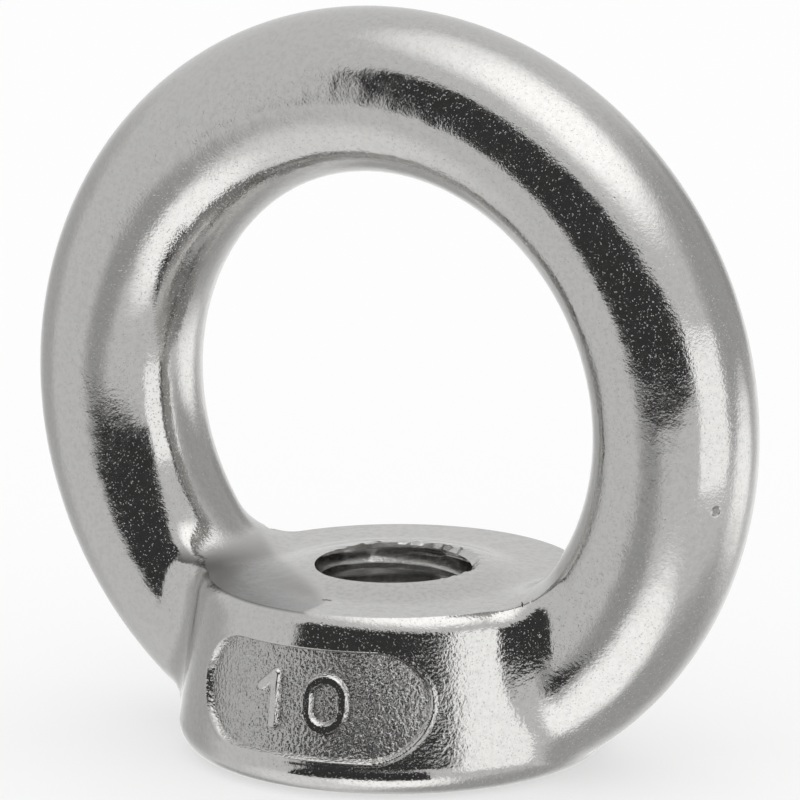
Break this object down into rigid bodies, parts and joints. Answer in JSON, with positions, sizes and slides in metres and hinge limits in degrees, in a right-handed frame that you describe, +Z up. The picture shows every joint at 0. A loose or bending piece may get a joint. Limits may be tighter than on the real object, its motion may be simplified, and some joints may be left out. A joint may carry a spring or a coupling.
{
  "type": "lifting eye nut",
  "caption": "Cast lifting eye nut: a drafted round collar with a threaded through hole and a shallow stadium-shaped field on its front, and a round-section ring rising from both sides of it.",
  "frame": {"origin": "centre of the seat face under the collar, on the thread axis", "axes": "+Z up along the thread towards the top of the ring; +X across the ring in its plane; -Y towards the side with the marking field"},
  "size_m": [0.045, 0.0246, 0.0423],
  "materials": {
    "cast_steel": "bright polished casting with fine grain, bare metal"
  },
  "bodies": {
    "root": {"eye_nut": "cast_steel"}
  },
  "joints": []
}
